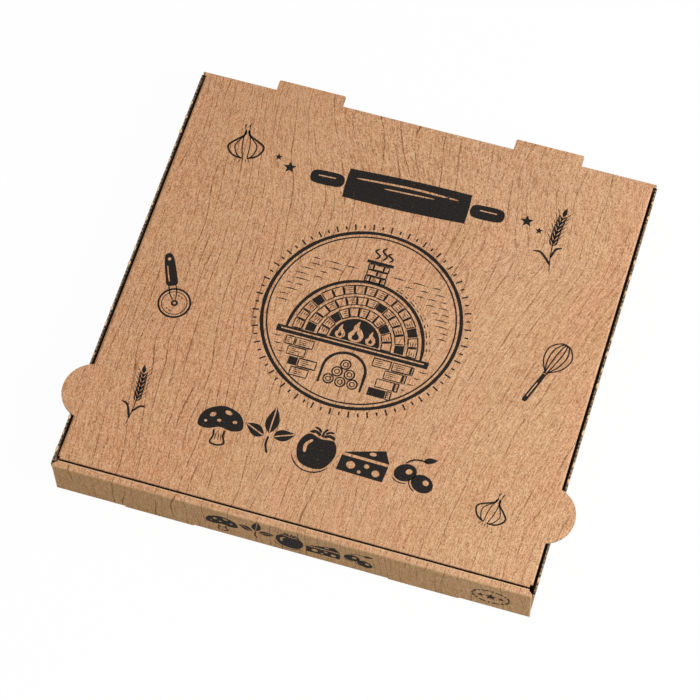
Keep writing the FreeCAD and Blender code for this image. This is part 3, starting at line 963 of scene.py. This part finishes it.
def draw_oven(ink):
    """A domed brick oven with a fire in its mouth, drawn like an old engraving."""
    hearth = -16.0
    arch_bricks(ink, hearth, (18.0, 19.0), (25.0, 26.5), 0, 180, 11)
    arch_bricks(ink, hearth, (26.5, 28.0), (33.5, 34.5), 0, 180, 14)
    arch_bricks(ink, hearth, (35.0, 36.0), (42.0, 43.0), 0, 180, 17)
    ink.stroke(arc(0, hearth, 45.0, 45.5, 0, 180, 40), 2.2, 0.8, 0.8)
    flames = [[(x * size + across, y * size + hearth + 1.8) for x, y in smooth(FLAME, 4, True)]
              for across, size in ((-10.2, 0.52), (0.0, 0.78), (10.2, 0.52))]
    ink.fill(arc(0, hearth + 0.6, 16.6, 17.2, 0, 180, 28), *flames)
    for across, size in ((-10.2, 0.2), (0.0, 0.36), (10.2, 0.2)):
        ink.fill([(x * size + across, y * size + hearth + 2.6) for x, y in smooth(FLAME, 3, True)])
    for step in range(13):
        first = 8 + step * 5 + (step % 3)
        ink.stroke(arc(0, hearth, 47.4, 47.8, first, first + 3.2, 4), 0.7)
        ink.stroke(arc(0, hearth, 49.4, 49.8, first + 1, first + 3.0, 4), 0.6)
    for row in range(9):
        along = 2.0 + row * 4.4
        dome = 52.5 * math.sqrt(max(0.0, 1.0 - ((along - hearth) / 52.0) ** 2))
        reach = math.sqrt(57.5 ** 2 - along ** 2)
        for side in (-1, 1):
            near = max(dome, 9.0) + ink.hand.uniform(0.0, 4.0)
            while near < reach - 3.0:
                far = min(near + ink.hand.uniform(5.0, 13.0), reach)
                ink.stroke([(side * near, along), (side * (near + far) / 2, along + 0.3),
                            (side * far, along)], 0.85, 0.2, 0.2)
                near = far + ink.hand.uniform(1.6, 4.0)
    for row in range(6):
        along = hearth - 8.0 - row * 5.2
        reach = math.sqrt(57.5 ** 2 - along ** 2)
        for side in (-1, 1):
            near = 45.0 - row * 2.2 + ink.hand.uniform(0.0, 1.5)
            if reach - near > 3.0:
                ink.stroke([(side * near, along), (side * (near + reach) / 2, along - 0.3),
                            (side * reach, along)], 0.85, 0.2, 0.2)
    ink.fill(bar(51, hearth, hearth - 5), bar(48, hearth - 1.6, hearth - 2.6))
    for course in range(4):
        low = hearth - 6 - course * 7.0
        shift = 0.0 if course % 2 else 6.5
        wide = 43.0 - course * 3.0
        start = -wide
        while start < wide - 1.0:
            end = min(start + (13.0 if start > -wide else 13.0 - shift), wide)
            if min(abs(start), abs(end)) > 15.0:
                draw_brick(ink, [(start, low), (end, low), (end, low - 6.6), (start, low - 6.6)])
            start = end
    mouth = arc(0, hearth - 21, 14, 13, 180, 0, 18)
    ink.stroke([(-14, hearth - 33)] + mouth + [(14, hearth - 33)], 1.9, 0.8, 0.8)
    for across, along in ((-8, -31), (0, -31.4), (8, -31), (-4, -24.6), (4.4, -24.8), (0, -18.4)):
        ink.stroke(ring(across, hearth + along + 2.0, 3.3, count=16), 1.0, closed=True, shake=0.1)
        ink.stroke(ring(across, hearth + along + 2.0, 1.6, count=10), 0.7, closed=True, shake=0.1)
    chimney = hearth + 46.0
    for course in range(3):
        low = chimney + course * 4.6
        for start, end in ((-7, 0), (0, 7)) if course % 2 else ((-7, -3.5), (-3.5, 3.5), (3.5, 7)):
            draw_brick(ink, [(start, low), (end, low), (end, low + 4.4), (start, low + 4.4)])
    ink.fill(bar(9, chimney + 13.8, chimney + 16))
    smoke = chimney + 17.5
    for across, height in ((-4.0, 8.0), (0.6, 10.0), (5.0, 7.0)):
        curl = ((0, 0), (2.0, 0.35), (-1.6, 0.7), (0.8, 1.0))
        ink.stroke(smooth([(across + x, smoke + height * y) for x, y in curl]), 1.3, 0.4, 0.2)


def draw_frieze(ink, motifs, first, gap, along, size):
    """A row of motifs, each a little turned."""
    for index, (motif, extra) in enumerate(motifs):
        turn = ink.hand.uniform(-9, 9)
        ink.move(first + gap * index, along, turn, size)
        motif(ink)
        if extra:
            extra(ink)


SOLID_MOTIFS = (
    (draw_mushroom, None),
    (draw_basil, None),
    (draw_tomato, draw_tomato_top),
    (draw_cheese, None),
    (draw_olive, None),
)


# Geometry Nodes trees for what repeats


def start_tree(name, inputs):
    """A Geometry Nodes tree with its inputs, and the nodes at its two ends."""
    group = bpy.data.node_groups.new(name, "GeometryNodeTree")
    for label, kind, default in inputs:
        socket = group.interface.new_socket(label, in_out="INPUT", socket_type=kind)
        socket.default_value = default
    group.interface.new_socket("Geometry", in_out="OUTPUT", socket_type="NodeSocketGeometry")
    return group, group.nodes.new("NodeGroupInput"), group.nodes.new("NodeGroupOutput")


def add(group, kind, settings=None, values=None):
    """A node of a Geometry Nodes tree, with its settings and its sockets fed."""
    item = group.nodes.new(kind)
    for name, value in (settings or {}).items():
        setattr(item, name, value)
    for name, value in (values or {}).items():
        if isinstance(value, bpy.types.NodeSocket):
            group.links.new(value, item.inputs[name])
        else:
            item.inputs[name].default_value = value
    return item


def worked(group, operation, *values):
    """The result of a Math node on some values or sockets."""
    return add(group, "ShaderNodeMath", {"operation": operation},
               dict(enumerate(values))).outputs[0]


def close_tree(group, output, parts, material):
    """Joins the parts, makes them real and gives them their material."""
    joined = add(group, "GeometryNodeJoinGeometry")
    for part in parts:
        group.links.new(part, joined.inputs[0])
    real = add(group, "GeometryNodeRealizeInstances", {}, {0: joined.outputs[0]})
    dressed = add(group, "GeometryNodeSetMaterial", {}, {0: real.outputs[0], "Material": material})
    group.links.new(dressed.outputs[0], output.inputs[0])


def grown(name, group, values):
    """Runs a Geometry Nodes tree with its inputs and returns its result as a plain mesh object."""
    holder = add_object(name, bpy.data.meshes.new(name))
    modifier = holder.modifiers.new("grow", "NODES")
    modifier.node_group = group
    for item in group.interface.items_tree:
        if item.in_out == "INPUT" and item.name in values:
            modifier[item.identifier] = values[item.name]
    bpy.context.view_layer.update()
    result = holder.evaluated_get(bpy.context.evaluated_depsgraph_get())
    data = bpy.data.meshes.new_from_object(result)
    holder.modifiers.remove(modifier)
    holder.data = data
    data.name = name
    return holder


def flute_tree(material):
    """A raw edge: a wave of fluted paper between two straight liners, along the Y axis."""
    group, source, output = start_tree("raw_edge", (
        ("Length", "NodeSocketFloat", 0.3),
        ("Pitch", "NodeSocketFloat", 0.0032),
        ("Thickness", "NodeSocketFloat", 0.0016),
        ("Liner", "NodeSocketFloat", 0.00026),
        ("Rise", "NodeSocketFloat", 0.00018),
    ))
    given = source.outputs
    end = add(group, "ShaderNodeCombineXYZ", {}, {1: given["Length"]})
    line = add(group, "GeometryNodeCurvePrimitiveLine", {}, {1: end.outputs[0]})
    step = worked(group, "DIVIDE", given["Pitch"], 8.0)
    points = add(group, "GeometryNodeResampleCurve", {"mode": "LENGTH"},
                 {"Curve": line.outputs[0], "Length": step})
    along = add(group, "GeometryNodeSplineParameter")
    turns = worked(group, "DIVIDE", along.outputs["Length"], given["Pitch"])
    sine = worked(group, "SINE", worked(group, "MULTIPLY", turns, math.tau))
    inner = worked(group, "SUBTRACT", given["Thickness"], given["Liner"])
    half = worked(group, "MULTIPLY", inner, 0.5)
    reach = worked(group, "MULTIPLY", sine, half)
    shift = add(group, "ShaderNodeCombineXYZ", {}, {0: reach})
    wave = add(group, "GeometryNodeSetPosition", {},
               {"Geometry": points.outputs[0], "Offset": shift.outputs[0]})
    section = add(group, "GeometryNodeCurvePrimitiveQuadrilateral", {"mode": "RECTANGLE"},
                  {"Width": given["Liner"], "Height": given["Rise"]})
    parts = []
    sides = [wave.outputs[0]]
    for sign in (-1.0, 1.0):
        away = worked(group, "MULTIPLY", half, sign)
        aside = add(group, "ShaderNodeCombineXYZ", {}, {0: away})
        moved = add(group, "GeometryNodeSetPosition", {},
                    {"Geometry": line.outputs[0], "Offset": aside.outputs[0]})
        sides.append(moved.outputs[0])
    for side in sides:
        upright = add(group, "GeometryNodeSetCurveNormal", {"mode": "Z_UP"}, {"Curve": side})
        swept = add(group, "GeometryNodeCurveToMesh", {},
                    {"Curve": upright.outputs[0], "Profile Curve": section.outputs[0],
                     "Fill Caps": True})
        parts.append(swept.outputs[0])
    close_tree(group, output, parts, material)
    return group


def nick_tree(material):
    """Small tufts of torn fibre in a row along the Y axis, some of them missing."""
    group, source, output = start_tree("holding_nicks", (
        ("Length", "NodeSocketFloat", 0.3),
        ("Spacing", "NodeSocketFloat", 0.012),
        ("Share", "NodeSocketFloat", 0.6),
        ("Size", "NodeSocketFloat", 0.001),
        ("Seed", "NodeSocketInt", 3),
    ))
    given = source.outputs
    end = add(group, "ShaderNodeCombineXYZ", {}, {1: given["Length"]})
    line = add(group, "GeometryNodeCurvePrimitiveLine", {}, {1: end.outputs[0]})
    points = add(group, "GeometryNodeResampleCurve", {"mode": "LENGTH"},
                 {"Curve": line.outputs[0], "Length": given["Spacing"]})
    chosen = add(group, "FunctionNodeRandomValue", {"data_type": "BOOLEAN"},
                 {"Probability": given["Share"], "Seed": given["Seed"]})
    tuft = add(group, "GeometryNodeMeshIcoSphere", {},
               {"Radius": given["Size"], "Subdivisions": 2})
    flat = add(group, "FunctionNodeRandomValue", {"data_type": "FLOAT_VECTOR"},
               {"Min": (0.4, 0.7, 0.12), "Max": (0.7, 1.5, 0.16), "Seed": given["Seed"]})
    placed = add(group, "GeometryNodeInstanceOnPoints", {},
                 {"Points": points.outputs[0], "Selection": chosen.outputs[3],
                  "Instance": tuft.outputs[0], "Scale": flat.outputs[0]})
    close_tree(group, output, [placed.outputs[0]], material)
    return group


def ray_tree(material):
    """Short rays round a circle, long and short in turn."""
    group, source, output = start_tree("rays", (
        ("Radius", "NodeSocketFloat", 0.066),
        ("Reach", "NodeSocketFloat", 0.005),
        ("Count", "NodeSocketInt", 72),
        ("Width", "NodeSocketFloat", 0.0011),
        ("Depth", "NodeSocketFloat", 0.00004),
    ))
    given = source.outputs
    circle = add(group, "GeometryNodeCurvePrimitiveCircle", {},
                 {"Resolution": given["Count"], "Radius": given["Radius"]})
    points = add(group, "GeometryNodeCurveToPoints", {"mode": "EVALUATED"},
                 {"Curve": circle.outputs[0]})
    size = add(group, "ShaderNodeCombineXYZ", {},
               {0: given["Reach"], 1: given["Width"], 2: given["Depth"]})
    bar = add(group, "GeometryNodeMeshCube", {}, {"Size": size.outputs[0]})
    place = add(group, "GeometryNodeInputPosition")
    turn = add(group, "FunctionNodeAlignRotationToVector", {"axis": "X"},
               {"Vector": place.outputs[0]})
    index = add(group, "GeometryNodeInputIndex")
    odd = worked(group, "MODULO", index.outputs[0], 2.0)
    longer = worked(group, "MULTIPLY_ADD", odd, -0.45, 1.0)
    scale = add(group, "ShaderNodeCombineXYZ", {}, {0: longer, 1: 1.0, 2: 1.0})
    placed = add(group, "GeometryNodeInstanceOnPoints", {},
                 {"Points": points.outputs[0], "Instance": bar.outputs[0],
                  "Rotation": turn.outputs[0], "Scale": scale.outputs[0]})
    close_tree(group, output, [placed.outputs[0]], material)
    return group


# The operators that make the pieces


class PIZZABOX_OT_board(bpy.types.Operator):
    """Give the tray and the lid their printed board"""

    bl_idname = "pizzabox.board"
    bl_label = "Board"

    def execute(self, context):
        board = context.scene.pizza_board
        for name, material in (("tray", tray_material(board)), ("lid", lid_material(board))):
            data = frame["nodes"][name].data
            data.materials.clear()
            data.materials.append(material)
        return {"FINISHED"}


class PIZZABOX_OT_raw_edges(bpy.types.Operator):
    """Lay the flutes and the holding nicks along the side walls' raw top edges"""

    bl_idname = "pizzabox.raw_edges"
    bl_label = "Raw edges"

    def execute(self, context):
        board = context.scene.pizza_board
        top = TRAY_HIGH[2] - board.thickness - REST_GAP * MM
        middle = TRAY_HIGH[0] - board.thickness / 2
        end_gap = 0.0006
        reach = TRAY_HIGH[1] - 2 * board.thickness - end_gap
        clear = 0.01
        flutes = flute_tree(flute_material(board))
        nicks = nick_tree(nick_material(board))
        for label, side in (("left", -1), ("right", 1)):
            edge = grown(f"flutes_{label}", flutes, {
                "Length": 2 * reach, "Pitch": board.flute_pitch, "Thickness": board.thickness,
                "Liner": board.liner, "Rise": board.edge_rise})
            edge.data.transform(Matrix.Translation(
                (side * middle, -reach, top + board.edge_rise / 2)))
            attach(edge, "tray")
            tufts = grown(f"nicks_{label}", nicks, {
                "Length": 2 * (reach - clear), "Size": 0.0014, "Seed": 5 + side})
            tufts.data.transform(Matrix.Translation((
                side * (middle + board.thickness * 0.3), clear - reach,
                top + board.edge_rise * 0.6)))
            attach(tufts, "tray")
        return {"FINISHED"}


class PIZZABOX_OT_crease(bpy.types.Operator):
    """Carry the outer liner over the crease between the rear wall and the lid"""

    bl_idname = "pizzabox.crease"
    bl_label = "Crease"

    def execute(self, context):
        board = context.scene.pizza_board
        half = TRAY_HIGH[0] - 0.0024
        inner = TAB_INNER * MM
        outer = TAB_OUTER * MM
        stretches = {"left": (-half, -outer), "middle": (-inner, inner), "right": (outer, half)}
        material = crease_material(board)
        for label, (start, end) in stretches.items():
            strip = crease_strip(f"crease_{label}", start, end)
            strip.data.materials.append(material)
            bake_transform(strip)
        return {"FINISHED"}


def crease_material(board):
    """The outer liner where it is creased, a little lighter along the bend, partly stretched liner
    and partly painted highlight.
    """
    graph = material_graph("creased_board")
    place, face = graph.place()
    along, up = place[1:]
    colour, fleck, grain = paper_tone(
        graph, place, face, unfolded(place, face, HINGE.z / MM), board, 1.0)
    # painted shade tint where the crease faces the back
    colour = wall_shade_and_tone(graph, place, colour, grain, face[1].rise(0.3, 0.9))
    # painted highlight along the bend, partly stretched liner
    ridge = (along + up).rise((HINGE.y + HINGE.z) / MM - 0.9, (HINGE.y + HINGE.z) / MM - 0.3)
    colour = graph.mix(ridge * 0.25, colour, board.pale_fibre_and_highlight)
    return graph.finish(colour, fleck, 0.0001, 0.84)


def crease_strip(name, start, end):
    """A closed strip of liner round the hinge's corner, from one X to another."""
    outer = 0.00008
    inner = 0.00001
    bend = 0.0006
    flat = 0.003
    section = []
    for skin in (outer, inner):
        edge = (skin + inner) / 2
        line = [(HINGE.y + edge, HINGE.z - flat), (HINGE.y + skin, HINGE.z - 0.0018)]
        centre = (HINGE.y - bend, HINGE.z - bend)
        for step in range(9):
            angle = math.radians(90 * step / 8)
            line.append((centre[0] + (bend + skin) * math.cos(angle),
                         centre[1] + (bend + skin) * math.sin(angle)))
        line += [(HINGE.y - 0.0018, HINGE.z + skin), (HINGE.y - flat, HINGE.z + edge)]
        section.append(line)
    loop = section[0] + list(reversed(section[1]))
    count = max(2, round((end - start) / 0.01))
    shape = bmesh.new()
    rows = []
    for step in range(count + 1):
        x = start + (end - start) * step / count
        rows.append([shape.verts.new((x, y, z)) for y, z in loop])
    for row, following in zip(rows, rows[1:]):
        for index in range(len(loop)):
            after = (index + 1) % len(loop)
            shape.faces.new((row[index], row[after], following[after], following[index]))
    half = len(section[0])
    for row in (rows[0], rows[-1]):
        for index in range(half - 1):
            shape.faces.new((row[index], row[index + 1], row[-index - 2], row[-index - 1]))
    bmesh.ops.recalc_face_normals(shape, faces=shape.faces)
    data = bpy.data.meshes.new(name)
    shape.to_mesh(data)
    shape.free()
    return add_object(name, data)


class PIZZABOX_OT_lid_print(bpy.types.Operator):
    """Print the oven medallion, the friezes and the small motifs on the lid"""

    bl_idname = "pizzabox.lid_print"
    bl_label = "Lid print"

    def execute(self, context):
        settings = context.scene.pizza_print
        material = ink_material(context.scene.pizza_board, settings)
        plane = Matrix.Translation((0.0, 0.0, LID_HIGH[2]))
        centre = (0.0, 2.0)
        growth = 1.07

        medallion = Ink(11)
        medallion.move(*centre, 0.0, growth)
        medallion.stroke(ring(0, 0, 63.4, count=96), 2.3, closed=True)
        medallion.stroke(ring(0, 0, 60.2, count=90), 1.0, closed=True)
        medallion.move(centre[0], centre[1] - 2.0, 0.0, growth * 0.98)
        draw_oven(medallion)
        self.lay(medallion.build("medallion", plane, settings.lift, material))

        rays = grown("medallion_rays", ray_tree(material), {
            "Radius": settings.ray_radius + settings.ray_length / 2,
            "Reach": settings.ray_length, "Count": settings.rays, "Width": 0.0011,
            "Depth": settings.lift * 0.8})
        rays.data.transform(plane @ Matrix.Translation(
            (centre[0] * MM, centre[1] * MM, settings.lift * 0.6)))
        self.lay(rays)

        bands = Ink(23)
        draw_frieze(bands, SOLID_MOTIFS, -67.0, 33.5, -101.0, 1.02)
        bands.move(2.0, 104.0, 2.0, 1.12)
        draw_rolling_pin(bands)
        for size, spots in ((1.2, ((-83, 103), (87, 108))), (0.7, ((-93, 109), (97, 103)))):
            for spot in spots:
                bands.move(*spot, 8.0, size)
                draw_star(bands)
        self.lay(bands.build("bands", plane, settings.lift, material))

        small = Ink(41)
        small.move(-126.0, -22.0, 24.0, 0.95)
        draw_cutter(small)
        small.move(126.0, -14.0, -20.0, 0.95)
        draw_whisk(small)
        small.move(-118.0, 112.0, 12.0, 0.95)
        draw_garlic(small)
        small.move(112.0, 74.0, 14.0, 0.62)
        draw_wheat(small)
        small.move(-128.0, -118.0, -8.0, 0.55)
        draw_wheat(small, bend=-12.0)
        small.move(124.0, -110.0, -14.0, 0.8)
        draw_garlic(small)
        self.lay(small.build("small_motifs", plane, settings.lift, material))
        return {"FINISHED"}

    def lay(self, piece):
        """The piece rides on the lid."""
        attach(piece, "lid")


class PIZZABOX_OT_front_print(bpy.types.Operator):
    """Print the small frieze and the dotted ring on the front wall"""

    bl_idname = "pizzabox.front_print"
    bl_label = "Front print"

    def execute(self, context):
        settings = context.scene.pizza_print
        material = ink_material(context.scene.pizza_board, settings)
        material.name = "front_ink"
        plane = Matrix.Translation((0.0, TRAY_LOW[1], TRAY_HIGH[2] / 2)) \
            @ Matrix.Rotation(math.radians(90), 4, "X")
        ink = Ink(53)
        draw_frieze(ink, SOLID_MOTIFS, -47.0, 23.5, -0.5, 0.74)
        across, along = 138.0, -0.5
        wide, high = 12.5, 9.0
        ink.move(across, along)
        for start in range(0, 360, 45):
            ink.stroke(arc(0, 0, wide, high, start + 6, start + 30, 6), 1.4, 0.8, 0.8)
            dot = math.radians(start + 40)
            ink.fill(ring(wide * math.cos(dot), high * math.sin(dot), 1.0, count=8))
        draw_star(ink, 4.6)
        for shift in (-7.0, 7.0):
            ink.move(across + shift, along)
            draw_star(ink, 2.6)
        piece = ink.build("front_print", plane, settings.lift, material)
        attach(piece, "tray")
        return {"FINISHED"}


class PIZZABOX_OT_stage(bpy.types.Operator):
    """Set the floor, the light and the camera"""

    bl_idname = "pizzabox.stage"
    bl_label = "Stage"

    def execute(self, context):
        stage = context.scene.pizza_stage
        lay_floor(stage)
        light_world(context.scene, stage)
        place_lamp(stage)
        place_camera(context.scene, stage)
        context.scene.view_settings.view_transform = "Standard"
        return {"FINISHED"}


def lay_floor(stage):
    """A wide plain floor that reads as white to the camera and keeps a soft shadow."""
    half = 4.0
    height = -0.0001
    corners = [(-half, -half, height), (half, -half, height), (half, half, height),
               (-half, half, height)]
    data = bpy.data.meshes.new("floor")
    data.from_pydata(corners, [], [(0, 1, 2, 3)])
    floor = add_object("floor", data)
    graph = material_graph("floor_white")
    path = graph.node("ShaderNodeLightPath")
    seen = Wire(graph, path.outputs["Is Camera Ray"])
    matt = graph.node("ShaderNodeBsdfDiffuse", {}, {
        "Color": graph.mix(seen, tuple(stage.bounce), tuple(stage.floor))})
    white = graph.node("ShaderNodeEmission", {}, {"Color": (1.0, 1.0, 1.0, 1.0), "Strength": 1.0})
    whiteness = 0.97
    both = graph.node("ShaderNodeMixShader", {}, {
        0: seen * whiteness, 1: Wire(graph, matt.outputs[0]), 2: Wire(graph, white.outputs[0])})
    graph.node("ShaderNodeOutputMaterial", {}, {0: Wire(graph, both.outputs[0])})
    data.materials.append(graph.owner)


def light_world(scene, stage):
    """An even sky that the camera sees as white."""
    graph = Graph(bpy.data.worlds.new("studio"))
    path = graph.node("ShaderNodeLightPath")
    strength = graph.node("ShaderNodeMapRange", {}, {
        "Value": Wire(graph, path.outputs["Is Camera Ray"]), "To Min": stage.sky, "To Max": 1.0})
    sky = graph.node("ShaderNodeBackground", {}, {
        "Strength": Wire(graph, strength.outputs["Result"])})
    graph.node("ShaderNodeOutputWorld", {}, {0: Wire(graph, sky.outputs[0])})
    scene.world = graph.owner


def place_lamp(stage):
    """A soft square lamp that looks at the box."""
    data = bpy.data.lights.new("key_lamp", "AREA")
    data.size = stage.key_size
    data.energy = stage.key
    lamp = add_object("key_lamp", data)
    lamp.location = stage.key_place
    lamp.rotation_euler = (-Vector(stage.key_place)).to_track_quat("-Z", "Y").to_euler()


def place_camera(scene, stage):
    """The camera at the angle from which the box is seen."""
    data = bpy.data.cameras.new("camera")
    data.lens = stage.lens
    data.sensor_width = 36.0
    data.clip_end = 20.0
    camera = add_object("camera", data)
    camera.location = stage.camera_place
    camera.rotation_euler = Euler(stage.camera_turn, "XYZ")
    scene.camera = camera


class PIZZABOX_PT_panel(bpy.types.Panel):
    """Lists what makes the box"""

    bl_label = "Pizza Box"
    bl_idname = "PIZZABOX_PT_panel"
    bl_space_type = "VIEW_3D"
    bl_region_type = "UI"
    bl_category = "Pizza Box"

    def draw(self, context):
        for group in (context.scene.pizza_board, context.scene.pizza_print,
                      context.scene.pizza_stage):
            box = self.layout.box()
            for name in group.__annotations__:
                box.prop(group, name)
        for operator in OPERATORS:
            self.layout.operator(operator.bl_idname)


OPERATORS = (
    PIZZABOX_OT_stage,
    PIZZABOX_OT_board,
    PIZZABOX_OT_raw_edges,
    PIZZABOX_OT_crease,
    PIZZABOX_OT_lid_print,
    PIZZABOX_OT_front_print,
)
CLASSES = (BoardSettings, PrintSettings, StageSettings, *OPERATORS, PIZZABOX_PT_panel)


def register():
    """Adds the classes and the settings to Blender."""
    for item in CLASSES:
        bpy.utils.register_class(item)
    bpy.types.Scene.pizza_board = PointerProperty(type=BoardSettings)
    bpy.types.Scene.pizza_print = PointerProperty(type=PrintSettings)
    bpy.types.Scene.pizza_stage = PointerProperty(type=StageSettings)


def unregister():
    """Takes the settings and the classes out again."""
    del bpy.types.Scene.pizza_stage
    del bpy.types.Scene.pizza_print
    del bpy.types.Scene.pizza_board
    for item in reversed(CLASSES):
        bpy.utils.unregister_class(item)


def main():
    """Registers the add-on and makes every piece."""
    register()
    bpy.ops.pizzabox.stage()
    bpy.ops.pizzabox.board()
    bpy.ops.pizzabox.raw_edges()
    bpy.ops.pizzabox.crease()
    bpy.ops.pizzabox.lid_print()
    bpy.ops.pizzabox.front_print()


if __name__ == "__main__":
    main()
